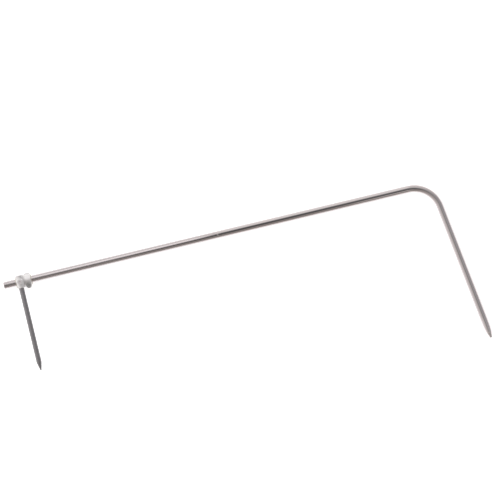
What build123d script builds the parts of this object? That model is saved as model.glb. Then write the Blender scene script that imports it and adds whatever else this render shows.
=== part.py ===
from build123d import *
import math
import os

# A bent steel rod with a clamped needle head, lying flat. Millimetres.
# Working axes while modelling: x runs along the beam from its free end towards the bend,
# y points away from the leg and the needle, z points up from the table.
# At the end everything is shifted so that the origin is the bottom centre of the whole part.

# ---- bent rod ----
ROD_R = 2.5
BEAM_TO_CORNER = 303.3      # free end to the corner where the beam's and the leg's axes meet
BEND_ANGLE = 82.15          # degrees the rod turns, so the leg splays about 8 degrees outwards
BEND_R = 19.0               # radius of the bend, on the rod's axis
LEG_FROM_CORNER = 114.1     # corner to the leg's tip
LEG_TAPER = 8.0             # the leg's point is short, full-bodied and round at its end
LEG_TAPER_BULGE = 0.36
LEG_TIP_R = 1.0
ROD_END_CHAMFER = 0.35
CENTRE_MARK_R = 0.5         # drilled dot at the middle of the beam
CENTRE_MARK_DEPTH = 0.35

# ---- split bush between the rod and the head ----
RUNNING = 0.05              # radial clearance of a running fit
BUSH_X0 = 8.5
BUSH_X1 = 19.9
BUSH_R = 2.9
BUSH_FLANGE_R = 3.5
BUSH_FLANGE = 0.45
BUSH_SLIT = 0.6

# ---- clamp head ----
END_GAP = 0.10              # play between the head and the bush's two flanges
HEAD_X0 = BUSH_X0 + BUSH_FLANGE + END_GAP
HEAD_X1 = BUSH_X1 - BUSH_FLANGE - END_GAP
BARREL_R = 4.55
HEAD_BORE_R = BUSH_R + RUNNING
SLIT_HALF = 0.4
EDGE = 0.45                 # rounding of the head's outer edges

# ---- needle and its post ----
NEEDLE_X = 11.7
NEEDLE_Z = 5.05             # the needle crosses above the rod
NEEDLE_R = 1.75
NEEDLE_TIP_Y = -63.0
NEEDLE_TOP_Y = 4.3
NEEDLE_CONE = 6.2
NEEDLE_CONE_BULGE = 0.1
NEEDLE_POINT_R = 0.3
NEEDLE_END_CHAMFER = 0.25
POST_R = NEEDLE_X - HEAD_X0
POST_Y0 = -4.5
POST_Y1 = 4.6

# ---- needle set screw (M2) and its brass pad ----
BOSS_R = 2.1
BOSS_TOP_Z = 8.9
SET_SCREW_R = 1.0
PAD_R = 0.95
PAD_THICK = 0.5
PART_GAP = 0.05             # gap between pieces that press on each other when tight
SET_SCREW_PROUD = 0.25
SET_SOCKET_AF = 0.9
SET_SOCKET_DEPTH = 0.8

# ---- pinch screw (M1.6) through the two ears, with its washer ----
PINCH_X = 17.1
PINCH_Y = -4.0
PINCH_R = 0.8
EAR_R = 1.85
EAR_HALF = 3.2
SEAT_R = 2.0                # spot face cut into the barrel for the washer and screw head
WASHER_R = 1.7
WASHER_HOLE_R = 0.9
WASHER_THICK = 0.3
PINCH_HEAD_R = 1.6
PINCH_HEAD_H = 1.6
PINCH_TIP_Z = -3.6
PINCH_SOCKET_AF = 1.5
PINCH_SOCKET_DEPTH = 0.8
KNURL_COUNT = 24
KNURL_R = 0.12

# ---- spine on top of the barrel, opposite the slit ----
SPINE_HALF_X = 1.8
SPINE_HALF_Z = 1.6
SPINE_TOP = 4.95

POINT_TOUCH = math.radians(30)      # where the side of a point meets its round end

# ---- derived places ----
BEND_RAD = math.radians(BEND_ANGLE)
TANGENT = BEND_R * math.tan(BEND_RAD / 2)
BEND_X = BEAM_TO_CORNER - TANGENT
LEG_DIR = Vector(math.cos(BEND_RAD), -math.sin(BEND_RAD), 0)
CORNER = Vector(BEAM_TO_CORNER, 0, 0)
LEG_TAPER_START = CORNER + LEG_DIR * (LEG_FROM_CORNER - LEG_TAPER)


def along_x(radius, x0, x1):
    return Pos((x0 + x1) / 2, 0, 0) * Rot(0, 90, 0) * Cylinder(radius, x1 - x0)


def along_y(radius, y0, y1, x, z):
    return Pos(x, (y0 + y1) / 2, z) * Rot(90, 0, 0) * Cylinder(radius, y1 - y0)


def along_z(radius, z0, z1, x, y):
    return Pos(x, y, (z0 + z1) / 2) * Cylinder(radius, z1 - z0)


def block(x0, x1, y0, y1, z0, z1):
    return Pos((x0 + x1) / 2, (y0 + y1) / 2, (z0 + z1) / 2) * Box(x1 - x0, y1 - y0, z1 - z0)


def hex_socket(across_flats, z0, z1, x, y):
    outline = Pos(x, y, z0) * RegularPolygon(across_flats / 2, 6, major_radius=False)
    return extrude(outline, z1 - z0)


def round_point(base_r, tip_r, length, bulge):
    """A pointed end along +Z: two cones, the second the steeper, from base_r to a ball of tip_r."""
    ball_z = length - tip_r
    touch = (tip_r * math.cos(POINT_TOUCH), ball_z + tip_r * math.sin(POINT_TOUCH))
    halfway = (POINT_TOUCH + math.pi / 2) / 2
    on_ball = (tip_r * math.cos(halfway), ball_z + tip_r * math.sin(halfway))
    lean = math.atan2(base_r - touch[0], touch[1])
    on_side = (
        (base_r + touch[0]) / 2 + bulge * math.cos(lean),
        touch[1] / 2 + bulge * math.sin(lean),
    )
    profile = Polyline((0, 0), (base_r, 0), on_side, touch)
    profile += ThreePointArc(touch, on_ball, (0, length))
    profile += Line((0, length), (0, 0))
    return revolve(Plane.XZ * make_face(profile), Axis.Z)


def bent_rod():
    path = Line((0, 0, 0), (BEND_X, 0, 0))
    bend = TangentArc(path @ 1, CORNER + LEG_DIR * TANGENT, tangent=(1, 0, 0))
    path += bend
    path += Line(bend @ 1, LEG_TAPER_START)
    rod = sweep(Plane.YZ * Circle(ROD_R), path=path)
    rod = chamfer(rod.edges().group_by(Axis.X)[0], ROD_END_CHAMFER)
    tip_plane = Plane(LEG_TAPER_START, x_dir=(0, 0, 1), z_dir=LEG_DIR)
    rod += tip_plane * round_point(ROD_R, LEG_TIP_R, LEG_TAPER, LEG_TAPER_BULGE)
    mark_base = ROD_R - CENTRE_MARK_DEPTH
    mark = Cone(0, CENTRE_MARK_R * 2, CENTRE_MARK_DEPTH * 2)
    rod -= Pos(BEAM_TO_CORNER / 2, 0, mark_base + CENTRE_MARK_DEPTH) * mark
    return rod


def rod_bush():
    bush = along_x(BUSH_R, BUSH_X0, BUSH_X1)
    bush += along_x(BUSH_FLANGE_R, BUSH_X0, BUSH_X0 + BUSH_FLANGE)
    bush += along_x(BUSH_FLANGE_R, BUSH_X1 - BUSH_FLANGE, BUSH_X1)
    bush -= along_x(ROD_R + RUNNING, BUSH_X0 - 1, BUSH_X1 + 1)
    half = BUSH_SLIT / 2
    return bush - block(BUSH_X0 - 1, BUSH_X1 + 1, -BUSH_FLANGE_R - 1, -1, -half, half)


def head_outside():
    """The head before boring: barrel, needle post with its boss, ears and spine."""
    barrel = along_x(BARREL_R, HEAD_X0, HEAD_X1)
    post = along_y(POST_R, POST_Y0, POST_Y1, NEEDLE_X, NEEDLE_Z)
    post += block(NEEDLE_X - POST_R, NEEDLE_X + POST_R, POST_Y0, POST_Y1, 0, NEEDLE_Z)
    boss = along_z(BOSS_R, NEEDLE_Z, BOSS_TOP_Z, NEEDLE_X, 0)
    ears = along_z(EAR_R, -EAR_HALF, EAR_HALF, PINCH_X, PINCH_Y)
    ears += block(PINCH_X - EAR_R, PINCH_X + EAR_R, PINCH_Y, 0, -EAR_HALF, EAR_HALF)
    spine = block(
        PINCH_X - SPINE_HALF_X, PINCH_X + SPINE_HALF_X, 0, SPINE_TOP, -SPINE_HALF_Z, SPINE_HALF_Z
    )
    spine = fillet(spine.faces().sort_by(Axis.Y)[-1].edges(), EDGE)
    barrel = chamfer(barrel.edges().filter_by(GeomType.CIRCLE), EDGE)
    post = chamfer(post.faces().sort_by(Axis.Y)[-1].edges(), EDGE)
    post = chamfer(post.faces().sort_by(Axis.Y)[0].edges(), EDGE)
    boss = fillet(boss.edges().group_by(Axis.Z)[-1], EDGE)
    ears = chamfer(ears.faces().sort_by(Axis.Z)[-1].edges(), EDGE / 2)
    ears = chamfer(ears.faces().sort_by(Axis.Z)[0].edges(), EDGE / 2)
    return barrel + post + boss + ears + spine


def clamp_head():
    head = head_outside()
    head -= along_x(HEAD_BORE_R, HEAD_X0 - 1, HEAD_X1 + 1)
    head -= block(HEAD_X0 - 1, HEAD_X1 + 1, -BARREL_R - 2, -1, -SLIT_HALF, SLIT_HALF)
    head -= along_y(NEEDLE_R + RUNNING, POST_Y0 - 1, POST_Y1 + 1, NEEDLE_X, NEEDLE_Z)
    head -= along_z(SET_SCREW_R + RUNNING, NEEDLE_Z, BOSS_TOP_Z + 1, NEEDLE_X, 0)
    head -= along_z(WASHER_HOLE_R, 0, EAR_HALF + 1, PINCH_X, PINCH_Y)
    head -= along_z(PINCH_R + RUNNING, -EAR_HALF - 1, 0, PINCH_X, PINCH_Y)
    head -= along_z(SEAT_R, EAR_HALF, BARREL_R + 1, PINCH_X, PINCH_Y)
    return head


def needle():
    shaft_y = NEEDLE_TIP_Y + NEEDLE_CONE
    shaft = along_y(NEEDLE_R, shaft_y, NEEDLE_TOP_Y, NEEDLE_X, NEEDLE_Z)
    shaft = chamfer(shaft.edges().group_by(Axis.Y)[-1], NEEDLE_END_CHAMFER)
    point_plane = Plane((NEEDLE_X, shaft_y, NEEDLE_Z), x_dir=(1, 0, 0), z_dir=(0, -1, 0))
    return shaft + point_plane * round_point(NEEDLE_R, NEEDLE_POINT_R, NEEDLE_CONE, NEEDLE_CONE_BULGE)


PAD_Z0 = NEEDLE_Z + NEEDLE_R + PART_GAP
SET_SCREW_Z0 = PAD_Z0 + PAD_THICK + PART_GAP
SET_SCREW_Z1 = BOSS_TOP_Z + SET_SCREW_PROUD


def needle_pad():
    pad = along_z(PAD_R, PAD_Z0, PAD_Z0 + PAD_THICK, NEEDLE_X, 0)
    return chamfer(pad.edges().group_by(Axis.Z)[0], 0.1)


def needle_screw():
    screw = along_z(SET_SCREW_R, SET_SCREW_Z0, SET_SCREW_Z1, NEEDLE_X, 0)
    screw = chamfer(screw.edges().group_by(Axis.Z)[0], 0.2)
    screw = chamfer(screw.edges().group_by(Axis.Z)[-1], 0.12)
    socket_z = SET_SCREW_Z1 - SET_SOCKET_DEPTH
    return screw - hex_socket(SET_SOCKET_AF, socket_z, SET_SCREW_Z1 + 1, NEEDLE_X, 0)


WASHER_Z0 = EAR_HALF + PART_GAP
PINCH_HEAD_Z0 = WASHER_Z0 + WASHER_THICK + PART_GAP
PINCH_HEAD_Z1 = PINCH_HEAD_Z0 + PINCH_HEAD_H


def pinch_washer():
    washer = along_z(WASHER_R, WASHER_Z0, WASHER_Z0 + WASHER_THICK, PINCH_X, PINCH_Y)
    return washer - along_z(WASHER_HOLE_R, WASHER_Z0 - 1, WASHER_Z0 + 1, PINCH_X, PINCH_Y)


def pinch_screw():
    head = along_z(PINCH_HEAD_R, PINCH_HEAD_Z0, PINCH_HEAD_Z1, PINCH_X, PINCH_Y)
    head = chamfer(head.edges().group_by(Axis.Z)[-1], 0.18)
    for place in PolarLocations(PINCH_HEAD_R, KNURL_COUNT):
        groove = along_z(KNURL_R, PINCH_HEAD_Z0 + 0.25, PINCH_HEAD_Z1 + 1, 0, 0)
        head -= Pos(PINCH_X, PINCH_Y, 0) * place * groove
    shank = along_z(PINCH_R, PINCH_TIP_Z, PINCH_HEAD_Z0, PINCH_X, PINCH_Y)
    shank = chamfer(shank.edges().group_by(Axis.Z)[0], 0.15)
    socket_z = PINCH_HEAD_Z1 - PINCH_SOCKET_DEPTH
    socket = hex_socket(PINCH_SOCKET_AF, socket_z, PINCH_HEAD_Z1 + 1, PINCH_X, PINCH_Y)
    return head + shank - socket


NODES = {
    "bent_rod": bent_rod(),
    "rod_bush": rod_bush(),
    "clamp_head": clamp_head(),
    "needle": needle(),
    "needle_pad": needle_pad(),
    "needle_screw": needle_screw(),
    "pinch_washer": pinch_washer(),
    "pinch_screw": pinch_screw(),
}

boxes = [shape.bounding_box() for shape in NODES.values()]
low_x = min(box.min.X for box in boxes)
high_x = max(box.max.X for box in boxes)
low_y = min(box.min.Y for box in boxes)
high_y = max(box.max.Y for box in boxes)
low_z = min(box.min.Z for box in boxes)
to_origin = Pos(-(low_x + high_x) / 2, -(low_y + high_y) / 2, -low_z)
print("moved by", to_origin.position)

os.makedirs("parts", exist_ok=True)
for name, shape in NODES.items():
    export_step(to_origin * shape, f"parts/{name}.step")
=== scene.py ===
"""Looks for a bent steel rod with a small clamp head and needle, lying flat on a pale table. Metres."""

import math

import bmesh
import bpy
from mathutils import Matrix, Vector


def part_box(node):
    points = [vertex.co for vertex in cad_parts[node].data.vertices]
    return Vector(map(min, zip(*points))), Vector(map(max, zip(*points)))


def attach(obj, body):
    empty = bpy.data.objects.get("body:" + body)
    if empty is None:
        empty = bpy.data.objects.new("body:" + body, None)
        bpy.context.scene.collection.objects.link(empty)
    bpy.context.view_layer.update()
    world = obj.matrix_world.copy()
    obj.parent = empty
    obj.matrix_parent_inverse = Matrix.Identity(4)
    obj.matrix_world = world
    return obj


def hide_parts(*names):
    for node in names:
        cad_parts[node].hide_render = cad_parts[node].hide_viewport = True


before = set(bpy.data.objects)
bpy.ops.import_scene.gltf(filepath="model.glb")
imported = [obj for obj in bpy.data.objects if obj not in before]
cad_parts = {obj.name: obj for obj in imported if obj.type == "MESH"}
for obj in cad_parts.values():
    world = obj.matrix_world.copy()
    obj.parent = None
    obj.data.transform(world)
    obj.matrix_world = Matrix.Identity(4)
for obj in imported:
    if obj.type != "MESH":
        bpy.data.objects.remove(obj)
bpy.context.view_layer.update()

MM = 0.001

# ---- where things are, from the frame ----
ROD_LOW, ROD_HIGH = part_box("bent_rod")
ROD_R = (ROD_HIGH.z - ROD_LOW.z) / 2
BEAM_Y = ROD_HIGH.y - ROD_R
ROD_Z = (ROD_HIGH.z + ROD_LOW.z) / 2

# ---- the rod and the needle, as the CAD part has them ----
BEAM_TO_CORNER = 303.3 * MM
BEND_ANGLE = math.radians(82.15)
BEND_R = 19.0 * MM
LEG_FROM_CORNER = 114.1 * MM
LEG_TAPER = 8.0 * MM
LEG_TIP_R = 1.0 * MM
LEG_TAPER_BULGE = 0.36 * MM
ROD_END_CHAMFER = 0.35 * MM
CENTRE_MARK_R = 0.5 * MM
CENTRE_MARK_DEPTH = 0.35 * MM
NEEDLE_CONE = 6.2 * MM
NEEDLE_POINT_R = 0.3 * MM
NEEDLE_CONE_BULGE = 0.1 * MM
NEEDLE_END_CHAMFER = 0.25 * MM
POINT_TOUCH = math.radians(30)          # where a point's ball meets its cone

# ---- the screws and the washer: sizes that the finer meshes add ----
SET_SCREW_PITCH = 0.4 * MM
SET_SCREW_THREAD = 0.16 * MM
SET_SCREW_SOCKET = 0.9 * MM
SET_SCREW_SOCKET_DEPTH = 0.7 * MM
PINCH_SHANK_R = 0.8 * MM
PINCH_HEAD = 1.6 * MM
PINCH_PITCH = 0.35 * MM
PINCH_THREAD = 0.14 * MM
PINCH_SOCKET = 1.5 * MM
PINCH_SOCKET_DEPTH = 0.72 * MM
SOCKET_BOTTOM_R = 0.1 * MM
SOCKET_BOTTOM_DEPTH = 0.8 * MM
KNURL_DEPTH = 0.11 * MM
KNURL_COUNT = 24
WASHER_BORE_R = 0.9 * MM
WASHER_EDGE = 0.05 * MM

# ---- how finely the meshes are cut ----
SHARP_EDGE = math.radians(28)
STRAIGHT_STEP = 4 * MM
BEND_STEP = 0.5 * MM
MARK_STEP = 0.2 * MM
MARK_MARGIN = 1.5 * MM                  # fine rings on each side of the centre mark
POINT_STEPS = 8

# ---- the picture ----
BEAM_RISE = math.radians(13.41)         # the beam climbs to the right in the picture
PICTURE_WIDTH = 0.345
CAMERA_HEIGHT = 4.0
AIM_FROM_LEFT_END = 0.17098
AIM_BELOW_BEAM = 0.01548
SENSOR = 36.0

FLOOR_SIZE = 8.0
FLOOR_DROP = 0.4 * MM                   # the floor lies just under the part, so the two never share a face
FLOOR_GLOW = 0.64


def make_camera():
    data = bpy.data.cameras.new("camera")
    data.sensor_width = SENSOR
    data.lens = SENSOR * (CAMERA_HEIGHT - ROD_Z) / PICTURE_WIDTH
    data.clip_start = 0.01
    data.clip_end = 50.0
    camera = bpy.data.objects.new("camera", data)
    bpy.context.scene.collection.objects.link(camera)
    camera.location = (ROD_LOW.x + AIM_FROM_LEFT_END, BEAM_Y - AIM_BELOW_BEAM, CAMERA_HEIGHT)
    camera.rotation_euler = (0.0, 0.0, -BEAM_RISE)
    bpy.context.scene.camera = camera


make_camera()


# ---- node helpers ----
class Tree:
    """A short way to write a node tree: each call adds one node and links its inputs."""

    def __init__(self, tree):
        self.tree = tree
        tree.nodes.clear()

    def add(self, kind, inputs=None, **settings):
        node = self.tree.nodes.new(kind)
        for name, value in settings.items():
            setattr(node, name, value)
        for name, value in (inputs or {}).items():
            if isinstance(value, bpy.types.NodeSocket):
                self.tree.links.new(value, node.inputs[name])
            else:
                node.inputs[name].default_value = value
        return node

    def ramp(self, source, stops):
        node = self.add("ShaderNodeValToRGB", {"Fac": source})
        elements = node.color_ramp.elements
        while len(elements) < len(stops):
            elements.new(0.5)
        for element, (place, colour) in zip(elements, stops):
            element.position = place
            element.color = (*colour, 1.0)
        return node.outputs["Color"]

    def grey_ramp(self, source, stops):
        return self.ramp(source, [(place, (grey, grey, grey)) for place, grey in stops])

    def mix(self, factor, a, b):
        """From a to b. b may be a colour of three numbers."""
        if not isinstance(b, bpy.types.NodeSocket):
            b = (*b, 1.0)
        inputs = {"Factor": factor, "A": a, "B": b}
        return self.add("ShaderNodeMix", inputs, data_type="RGBA").outputs["Result"]

    def math(self, operation, a, b, c=0.5):
        return self.add("ShaderNodeMath", {0: a, 1: b, 2: c}, operation=operation).outputs["Value"]

    def split(self, vector):
        return self.add("ShaderNodeSeparateXYZ", {"Vector": vector}).outputs

    def scaled(self, vector, scale):
        return self.add("ShaderNodeMapping", {"Vector": vector, "Scale": scale}).outputs["Vector"]

    def noise(self, vector, scale, detail=4.0, rough=0.55):
        inputs = {"Vector": vector, "Scale": scale, "Detail": detail, "Roughness": rough}
        return self.add("ShaderNodeTexNoise", inputs).outputs["Fac"]


# ---- surroundings ----
def make_studio():
    """Walls that are bright at the back and on the left, dimmer in front and on the right, and a dark strip
    of ceiling from overhead towards the right. Metal reflects the strip as a soft dark line, along the middle
    of the beam and on the outer side of the leg."""
    world = bpy.data.worlds.new("studio")
    bpy.context.scene.world = world
    world.use_nodes = True
    t = Tree(world.node_tree)
    parts = t.split(t.add("ShaderNodeTexCoord").outputs["Generated"])
    x, y, z = (t.math("MULTIPLY_ADD", parts[name], 0.5) for name in "XYZ")

    front_back = t.ramp(y, [
        (0.0, (0.38, 0.35, 0.325)), (0.35, (0.40, 0.37, 0.345)),
        (0.60, (0.72, 0.69, 0.68)), (0.85, (0.86, 0.84, 0.83)),
    ])
    left_right = t.ramp(x, [
        (0.0, (1.0, 0.96, 0.97)), (0.35, (1.0, 0.96, 0.97)),
        (0.70, (0.42, 0.40, 0.41)), (1.0, (0.40, 0.39, 0.40)),
    ])
    walls = t.mix(t.math("MULTIPLY", parts["X"], parts["X"]), front_back, left_right)

    across = t.grey_ramp(y, [(0.19, 0.0), (0.325, 1.0), (0.65, 1.0), (0.79, 0.0)])
    towards = t.grey_ramp(x, [(0.43, 0.0), (0.478, 1.0), (0.85, 1.0), (0.975, 0.3)])
    above = t.grey_ramp(z, [(0.50, 0.0), (0.56, 1.0)])
    strip = t.math("MULTIPLY", t.math("MULTIPLY", across, towards), above)
    dark = t.ramp(x, [
        (0.50, (0.082, 0.082, 0.087)), (0.54, (0.34, 0.335, 0.34)),
        (0.66, (0.47, 0.46, 0.47)), (1.0, (0.46, 0.45, 0.46)),
    ])

    in_metal = t.add("ShaderNodeBackground", {"Color": t.mix(strip, walls, dark), "Strength": 1.0})
    plain = t.add("ShaderNodeBackground", {"Color": (0.95, 0.95, 0.95, 1.0), "Strength": 1.0})
    direct = t.add("ShaderNodeLightPath").outputs["Is Camera Ray"]
    inputs = {0: direct, 1: in_metal.outputs["Background"], 2: plain.outputs["Background"]}
    both = t.add("ShaderNodeMixShader", inputs)
    t.add("ShaderNodeOutputWorld", {"Surface": both.outputs["Shader"]})


make_studio()


def soft_box(name, aim, offset, size, power, colour):
    """A rectangular lamp that hangs at offset from the point it aims at."""
    data = bpy.data.lights.new(name, "AREA")
    data.shape = "RECTANGLE"
    data.size, data.size_y = size
    data.energy = power
    data.color = colour
    light = bpy.data.objects.new(name, data)
    bpy.context.scene.collection.objects.link(light)
    light.location = Vector(aim) + Vector(offset)
    light.rotation_euler = (-Vector(offset)).to_track_quat("-Z", "Y").to_euler()
    light.visible_camera = False


def make_lights():
    """Weak soft boxes, each standing beside one stretch of the rod: they lift its reflections there."""
    left = ROD_LOW.x
    soft_box(
        "over_free_end", aim=(left + 0.065, BEAM_Y, 0.0), offset=(0.0, 0.20, 0.36),
        size=(0.15, 0.36), power=0.120, colour=(1.0, 0.96, 0.97),
    )
    soft_box(
        "behind_beam", aim=(left + 0.235, BEAM_Y, 0.0), offset=(0.0, 0.36, 0.18),
        size=(0.17, 0.26), power=0.035, colour=(1.0, 1.0, 1.0),
    )
    soft_box(
        "beyond_leg_tip", aim=(ROD_HIGH.x, ROD_LOW.y, 0.0), offset=(0.0, -0.17, 0.36),
        size=(0.12, 0.14), power=0.020, colour=(1.0, 0.98, 0.98),
    )
    soft_box(
        "key", aim=(left, BEAM_Y, 0.0), offset=(-0.18, 0.25, 0.32),
        size=(0.16, 0.16), power=0.32, colour=(1.0, 0.99, 0.99),
    )


make_lights()


def make_floor():
    bpy.ops.mesh.primitive_plane_add(size=FLOOR_SIZE, location=(0, 0, -FLOOR_DROP))
    floor = bpy.context.object
    floor.name = "floor"
    material = bpy.data.materials.new("floor")
    material.use_nodes = True
    t = Tree(material.node_tree)
    grain = t.noise(t.add("ShaderNodeTexCoord").outputs["Object"], 180.0, 3.0)
    shader = t.add("ShaderNodeBsdfPrincipled", {
        "Base Color": t.grey_ramp(grain, [(0.3, 0.90), (0.7, 0.94)]),
        "Roughness": 0.9,
        "Emission Color": (1.0, 1.0, 1.0, 1.0),
        "Emission Strength": FLOOR_GLOW,
    })
    t.add("ShaderNodeOutputMaterial", {"Surface": shader.outputs["BSDF"]})
    floor.data.materials.append(material)


make_floor()


# ---- mesh helpers ----
def shade_smooth(mesh):
    for polygon in mesh.polygons:
        polygon.use_smooth = True
    mesh.set_sharp_from_angle(angle=SHARP_EDGE)


def finish_mesh(name, bm, along=None):
    """A smooth-shaded object from bm. along gives each vertex its place across and along its own axis."""
    bmesh.ops.recalc_face_normals(bm, faces=bm.faces)
    mesh = bpy.data.meshes.new(name)
    bm.to_mesh(mesh)
    bm.free()
    if along:
        layer = mesh.attributes.new("along", "FLOAT_VECTOR", "POINT")
        for item, value in zip(layer.data, along):
            item.vector = value
    shade_smooth(mesh)
    obj = bpy.data.objects.new(name, mesh)
    bpy.context.scene.collection.objects.link(obj)
    return obj


class Axis:
    """A straight axis: at(d) is the centre d along it, with the two directions across it."""

    def __init__(self, start, direction, across):
        self.start = Vector(start)
        self.direction = Vector(direction).normalized()
        self.across = Vector(across).normalized()
        self.side = self.direction.cross(self.across)

    def at(self, d):
        return self.start + self.direction * d, self.across, self.side


class RodPath:
    """The rod's axis: the beam, the bend and the leg. at(d) is the centre d along it from the free end."""

    def __init__(self):
        tangent = BEND_R * math.tan(BEND_ANGLE / 2)
        self.beam = BEAM_TO_CORNER - tangent
        self.bend = BEND_R * BEND_ANGLE
        self.length = self.beam + self.bend + LEG_FROM_CORNER - tangent
        self.start = Vector((ROD_LOW.x, BEAM_Y, ROD_Z))

    def at(self, d):
        if d < self.beam:
            place, turn = Vector((d, 0, 0)), 0.0
        else:
            turn = min((d - self.beam) / BEND_R, BEND_ANGLE)
            place = Vector((self.beam + BEND_R * math.sin(turn), -BEND_R * (1 - math.cos(turn)), 0))
            beyond = d - self.beam - self.bend
            if beyond > 0:
                place += Vector((math.cos(turn), -math.sin(turn), 0)) * beyond
        return self.start + place, Vector((0, 0, -1)), Vector((math.sin(turn), math.cos(turn), 0))

    def along(self, point):
        """The reverse of at: where a point is, across the axis in both directions and along it."""
        from_start = point - self.start
        turn = math.atan2(max(from_start.x - self.beam, 0.0), from_start.y + BEND_R)
        d = self.beam + BEND_R * min(turn, BEND_ANGLE)
        centre, across, side = self.at(d)
        off = point - centre
        return off.dot(across), off.dot(side), d + off.dot(across.cross(side))


def turned(name, axis, rings, segments, closed=False):
    """A mesh of rings round an axis. Each ring is (distance along, radius), and a radius may be a function
    of the angle. Without closed, both ends are capped with a point on the axis."""
    bm = bmesh.new()
    along = []
    loops = []
    for d, radius in rings:
        centre, across, side = axis.at(d)
        loop = []
        for i in range(segments):
            angle = 2 * math.pi * i / segments
            r = radius(angle) if callable(radius) else radius
            c, s = math.cos(angle) * r, math.sin(angle) * r
            loop.append(bm.verts.new(centre + across * c + side * s))
            along.append((c, s, d))
        loops.append(loop)
    pairs = list(zip(loops, loops[1:]))
    if closed:
        pairs.append((loops[-1], loops[0]))
    for a, b in pairs:
        for i in range(segments):
            j = (i + 1) % segments
            bm.faces.new((a[i], a[j], b[j], b[i]))
    if not closed:
        for loop, d in ((loops[0], rings[0][0]), (loops[-1], rings[-1][0])):
            tip = bm.verts.new(axis.at(d)[0])
            along.append((0.0, 0.0, d))
            for i in range(segments):
                bm.faces.new((tip, loop[i], loop[(i + 1) % segments]))
    return finish_mesh(name, bm, along)


def upright(low, high):
    """The vertical axis up through the middle of a box."""
    return Axis(((low.x + high.x) / 2, (low.y + high.y) / 2, low.z), (0, 0, 1), (1, 0, 0))


def even(start, end, step):
    count = max(1, math.ceil((end - start) / step))
    return [start + (end - start) * i / count for i in range(count)]


def point_rings(base_r, tip_r, length, bulge, start):
    """The rings of a pointed end: two cones, the second the steeper, and a ball, as in the CAD part."""
    ball = length - tip_r
    touch = (tip_r * math.cos(POINT_TOUCH), ball + tip_r * math.sin(POINT_TOUCH))
    lean = math.atan2(base_r - touch[0], touch[1])
    mid = ((base_r + touch[0]) / 2 + bulge * math.cos(lean), touch[1] / 2 + bulge * math.sin(lean))
    rings = []
    for (r0, z0), (r1, z1) in (((base_r, 0.0), mid), (mid, touch)):
        for i in range(POINT_STEPS):
            share = i / POINT_STEPS
            rings.append((start + z0 + (z1 - z0) * share, r0 + (r1 - r0) * share))
    for i in range(POINT_STEPS):
        angle = POINT_TOUCH + (math.pi / 2 - POINT_TOUCH) * i / POINT_STEPS
        rings.append((start + ball + tip_r * math.sin(angle), tip_r * math.cos(angle)))
    return rings


def hexagon(across_flats):
    def radius(angle):
        return across_flats / 2 / math.cos((angle + math.pi / 6) % (math.pi / 3) - math.pi / 6)
    return radius


def socket_rings(top, across_flats, chamfer, depth):
    """The rings of a hexagon socket, from its chamfered rim down to its pointed bottom."""
    wall = hexagon(across_flats)
    return [
        (top, lambda angle: wall(angle) + chamfer), (top - chamfer, wall), (top - depth, wall),
        (top - SOCKET_BOTTOM_DEPTH, SOCKET_BOTTOM_R),
    ]


def thread(start, end, radius, pitch, depth, steps=10):
    """Rings with one helical ridge, crests at radius, that runs out flush at both ends."""
    rings = []
    count = round((end - start) / pitch * steps)
    for i in range(count + 1):
        d = start + (end - start) * i / count
        fade = min(1.0, i / steps, (count - i) / steps)

        def ridge(angle, d=d, fade=fade):
            phase = (d / pitch - angle / (2 * math.pi)) % 1.0
            return radius - depth * fade * min(1.0, 2.6 * min(phase, 1 - phase))
        rings.append((d, ridge))
    return rings


def knurled(radius, depth):
    def at(angle):
        return radius - depth * (0.5 + 0.5 * math.cos(KNURL_COUNT * angle)) ** 3
    return at


# ---- the pieces that replace their CAD nodes ----
def cut_centre_mark(rod, at):
    """Drills the small cone in the top of the beam. The cut clears the along values: they are set after it."""
    bm = bmesh.new()
    bmesh.ops.create_cone(
        bm, cap_ends=True, segments=32, radius1=0.0, radius2=CENTRE_MARK_R * 2, depth=CENTRE_MARK_DEPTH * 2
    )
    cutter = finish_mesh("cutter", bm)
    cutter.location = (ROD_LOW.x + at, BEAM_Y, ROD_Z + ROD_R)
    cut = rod.modifiers.new("mark", "BOOLEAN")
    cut.operation = "DIFFERENCE"
    cut.solver = "EXACT"
    cut.object = cutter
    bpy.context.view_layer.objects.active = rod
    bpy.ops.object.modifier_apply(modifier="mark")
    bpy.data.objects.remove(cutter)
    shade_smooth(rod.data)


def make_rod():
    path = RodPath()
    mark = BEAM_TO_CORNER / 2
    bend_end = path.beam + path.bend
    taper = path.length - LEG_TAPER
    rings = [(0.0, ROD_R - ROD_END_CHAMFER), (0.12 * MM, ROD_R - 0.20 * MM), (ROD_END_CHAMFER, ROD_R)]
    stretches = (
        (1.2 * MM, mark - MARK_MARGIN, STRAIGHT_STEP),
        (mark - MARK_MARGIN, mark + MARK_MARGIN, MARK_STEP),
        (mark + MARK_MARGIN, path.beam, STRAIGHT_STEP),
        (path.beam, bend_end, BEND_STEP),
        (bend_end, taper, STRAIGHT_STEP),
    )
    for start, end, step in stretches:
        rings += [(d, ROD_R) for d in even(start, end, step)]
    rings += point_rings(ROD_R, LEG_TIP_R, LEG_TAPER, LEG_TAPER_BULGE, taper)
    rod = turned("rod", path, rings, segments=64)
    cut_centre_mark(rod, mark)
    for vertex, place in zip(rod.data.vertices, rod.data.attributes["along"].data):
        place.vector = path.along(vertex.co)
    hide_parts("bent_rod")
    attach(rod, "rod")
    return rod


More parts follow.
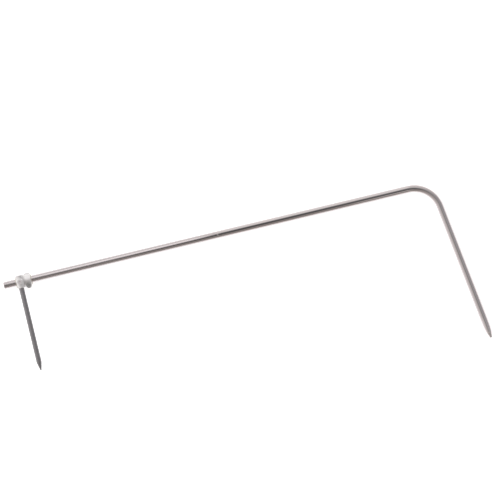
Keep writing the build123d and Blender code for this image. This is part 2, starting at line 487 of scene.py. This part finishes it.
def make_needle():
    low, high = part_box("needle")
    radius = (high.x - low.x) / 2
    shaft = high.y - low.y - NEEDLE_CONE
    axis = Axis(((low.x + high.x) / 2, high.y, (low.z + high.z) / 2), (0, -1, 0), (0, 0, -1))
    rings = [(0.0, radius - NEEDLE_END_CHAMFER), (NEEDLE_END_CHAMFER, radius)]
    rings += [(d, radius) for d in even(0.8 * MM, shaft, 3 * MM)]
    rings += point_rings(radius, NEEDLE_POINT_R, NEEDLE_CONE, NEEDLE_CONE_BULGE, shaft)
    obj = turned("needle_shaft", axis, rings, segments=48)
    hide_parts("needle")
    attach(obj, "needle")
    return obj


def make_needle_screw():
    low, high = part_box("needle_screw")
    radius = (high.x - low.x) / 2
    top = high.z - low.z
    rings = [(0.0, radius - 0.35 * MM), (0.10 * MM, radius - 0.22 * MM)]
    rings += thread(0.24 * MM, top - 0.12 * MM, radius, SET_SCREW_PITCH, SET_SCREW_THREAD)
    rings += [(top, radius - 0.12 * MM), (top, radius - 0.2 * MM)]
    rings += socket_rings(top, SET_SCREW_SOCKET, 0.05 * MM, SET_SCREW_SOCKET_DEPTH)
    obj = turned("set_screw", upright(low, high), rings, segments=72)
    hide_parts("needle_screw")
    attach(obj, "needle_screw")
    return obj


def make_pinch_screw():
    low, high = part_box("pinch_screw")
    head_r = (high.x - low.x) / 2
    top = high.z - low.z
    head = top - PINCH_HEAD
    rings = [(0.0, PINCH_SHANK_R - 0.22 * MM), (0.15 * MM, PINCH_SHANK_R - 0.04 * MM)]
    rings += thread(0.2 * MM, head - 1.0 * MM, PINCH_SHANK_R, PINCH_PITCH, PINCH_THREAD)
    rings += [(head - 0.9 * MM, PINCH_SHANK_R), (head, PINCH_SHANK_R), (head, head_r - 0.22 * MM)]
    grip = knurled(head_r, KNURL_DEPTH)
    rings += [(head + 0.14 * MM, head_r - 0.03 * MM), (head + 0.24 * MM, head_r), (head + 0.30 * MM, grip)]
    rings += [(top - 0.20 * MM, grip), (top - 0.10 * MM, knurled(head_r - 0.07 * MM, 0.06 * MM))]
    rings += [(top, head_r - 0.20 * MM), (top, head_r - 0.34 * MM)]
    rings += socket_rings(top, PINCH_SOCKET, 0.06 * MM, PINCH_SOCKET_DEPTH)
    obj = turned("pinch_screw_body", upright(low, high), rings, segments=192)
    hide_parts("pinch_screw")
    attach(obj, "pinch_screw")
    return obj


def make_washer():
    low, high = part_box("pinch_washer")
    outer = (high.x - low.x) / 2
    inner = WASHER_BORE_R
    thick = high.z - low.z
    edge = WASHER_EDGE
    rings = [
        (0.0, inner + edge), (0.0, outer - edge), (edge, outer), (thick - edge, outer),
        (thick, outer - edge), (thick, inner + edge), (thick - edge, inner), (edge, inner),
    ]
    obj = turned("washer", upright(low, high), rings, segments=96, closed=True)
    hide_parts("pinch_washer")
    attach(obj, "pinch_washer")
    return obj


ROD = make_rod()
NEEDLE = make_needle()
NEEDLE_SCREW = make_needle_screw()
PINCH_SCREW = make_pinch_screw()
WASHER = make_washer()


# ---- materials ----
ALL_WAYS = (1.0, 1.0, 1.0)
BUMP_HEIGHT = 0.02 * MM
ZONE_SCALE = 2.2                        # brings the rod's 0.41 m length inside a ramp's 0 to 1


def edge_wear(t, radius):
    """1 on edges that handling has rubbed bright, 0 on the faces between them."""
    rounded = t.add("ShaderNodeBevel", {"Radius": radius}, samples=6).outputs["Normal"]
    flat = t.add("ShaderNodeNewGeometry").outputs["Normal"]
    same = t.add("ShaderNodeVectorMath", {0: rounded, 1: flat}, operation="DOT_PRODUCT").outputs["Value"]
    return t.grey_ramp(same, [(0.80, 1.0), (0.97, 0.0)])


def nicks(t, place):
    """1 in short fine scratches that run mostly lengthwise and come in patches."""
    inputs = {"Vector": t.scaled(place, (900.0, 700.0, 60.0)), "Scale": 1.0}
    cells = t.add("ShaderNodeTexVoronoi", inputs, feature="DISTANCE_TO_EDGE").outputs["Distance"]
    patches = t.grey_ramp(t.noise(place, 140.0, 2.0), [(0.52, 0.0), (0.62, 1.0)])
    return t.math("MULTIPLY", t.grey_ramp(cells, [(0.0, 1.0), (0.035, 0.0)]), patches)


def metal(name, coords, colour, rough, lines, grain, bump, scratch=0.0, edge=None, tint=None, zones=None):
    """A worked metal. lines and grain are (scale vector, noise scale) of the tool's lines and of the fine
    grain, and colour and rough are (low, high) over them. bump and scratch are strengths. edge is the bevel
    radius and the colour of worn edges. tint is a second colour that comes and goes over some centimetres,
    its noise scale and its amount. zones is the colour of the painted shade on the free end, the colour of the
    painted light on the leg, lighter still at its tip, and how much duller the free end is."""
    material = bpy.data.materials.new(name)
    material.use_nodes = True
    t = Tree(material.node_tree)
    if coords == "along":
        place = t.add("ShaderNodeAttribute", attribute_name="along").outputs["Vector"]
    else:
        place = t.add("ShaderNodeTexCoord").outputs["Object"]
    tool = t.noise(t.scaled(place, lines[0]), lines[1], 5.0, 0.6)
    fine = t.noise(t.scaled(place, grain[0]), grain[1], 3.0)
    height = t.math("ADD", t.math("MULTIPLY", tool, 0.65), t.math("MULTIPLY", fine, 0.35))
    shade = t.ramp(height, [(0.30, colour[0]), (0.70, colour[1])])
    dull = t.grey_ramp(height, [(0.30, rough[1]), (0.70, rough[0])])
    if tint:
        second, scale, amount = tint
        cloud = t.grey_ramp(t.noise(place, scale, 2.0), [(0.40, 0.0), (0.68, amount)])
        shade = t.mix(cloud, shade, second)
    # painted shade darkens the beam's free end, and painted light lightens the leg from the bend on, most at
    # its tip; the free end is also made rougher
    if zones:
        painted_end_shade, painted_leg_light, dulled = zones
        d = t.math("MULTIPLY", t.split(place)["Z"], ZONE_SCALE)
        near = t.grey_ramp(d, [(0.16, 1.0), (0.34, 0.0)])
        far = t.grey_ramp(d, [(0.62, 0.0), (0.72, 0.30), (0.868, 0.26), (0.89, 0.60)])
        shade = t.mix(far, t.mix(near, shade, painted_end_shade), painted_leg_light)
        dull = t.math("ADD", dull, t.math("MULTIPLY", near, dulled))
    if scratch:
        height = t.math("SUBTRACT", height, t.math("MULTIPLY", nicks(t, place), scratch))
    if edge:
        shade = t.mix(edge_wear(t, edge[0]), shade, edge[1])
    bumps = t.add("ShaderNodeBump", {"Height": height, "Strength": bump, "Distance": BUMP_HEIGHT})
    inputs = {"Base Color": shade, "Metallic": 1.0, "Roughness": dull, "Normal": bumps.outputs["Normal"]}
    shader = t.add("ShaderNodeBsdfPrincipled", inputs)
    t.add("ShaderNodeOutputMaterial", {"Surface": shader.outputs["BSDF"]})
    return material


def wear(obj, material):
    if isinstance(obj, str):
        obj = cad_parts[obj]
    obj.data.materials.clear()
    obj.data.materials.append(material)


# The rod's zones paint shade on the free end of the beam and light on the leg and its tip.
ROD_STEEL = metal(
    "rod_polished", "along", ((0.54, 0.503, 0.505), (0.61, 0.572, 0.574)), (0.07, 0.14),
    lines=((1.0, 1.0, 0.012), 5200.0), grain=(ALL_WAYS, 2600.0), bump=0.06, scratch=0.4,
    tint=((0.60, 0.54, 0.53), 45.0, 0.4), zones=((0.575, 0.54, 0.545), (0.80, 0.765, 0.765), 0.10),
)
NEEDLE_STEEL = metal(
    "needle_ground", "along", ((0.24, 0.235, 0.245), (0.335, 0.33, 0.335)), (0.42, 0.58),
    lines=((0.05, 0.05, 1.0), 5200.0), grain=(ALL_WAYS, 4000.0), bump=0.3, scratch=0.4,
)
HEAD_STEEL = metal(
    "head_satin", "Object", ((0.74, 0.73, 0.73), (0.85, 0.845, 0.84)), (0.46, 0.62),
    lines=((1.0, 0.06, 0.06), 7000.0), grain=(ALL_WAYS, 6000.0), bump=0.35,
    edge=(0.18 * MM, (0.94, 0.93, 0.91)),
)
SCREW_STEEL = metal(
    "screw_dulled", "along", ((0.34, 0.34, 0.335), (0.48, 0.48, 0.47)), (0.34, 0.50),
    lines=((0.1, 0.1, 1.0), 9000.0), grain=(ALL_WAYS, 7000.0), bump=0.35,
    edge=(0.08 * MM, (0.66, 0.65, 0.62)),
)
SET_SCREW_STEEL = metal(
    "set_screw_bright", "along", ((0.72, 0.68, 0.69), (0.84, 0.80, 0.81)), (0.45, 0.58),
    lines=((0.1, 0.1, 1.0), 9000.0), grain=(ALL_WAYS, 7000.0), bump=0.3,
    edge=(0.06 * MM, (0.80, 0.79, 0.77)),
)
WASHER_STEEL = metal(
    "washer_pressed", "along", ((0.66, 0.66, 0.65), (0.80, 0.80, 0.79)), (0.25, 0.40),
    lines=((1.0, 1.0, 0.1), 6000.0), grain=(ALL_WAYS, 7000.0), bump=0.3,
)
BRASS = metal(
    "bush_turned", "Object", ((0.62, 0.58, 0.51), (0.74, 0.70, 0.63)), (0.28, 0.42),
    lines=((1.0, 0.05, 0.05), 8000.0), grain=(ALL_WAYS, 5000.0), bump=0.3,
)

wear(ROD, ROD_STEEL)
wear(NEEDLE, NEEDLE_STEEL)
wear("clamp_head", HEAD_STEEL)
wear(WASHER, WASHER_STEEL)
wear(PINCH_SCREW, SCREW_STEEL)
wear(NEEDLE_SCREW, SET_SCREW_STEEL)
wear("rod_bush", BRASS)
wear("needle_pad", BRASS)

bpy.context.scene.view_settings.view_transform = "Standard"
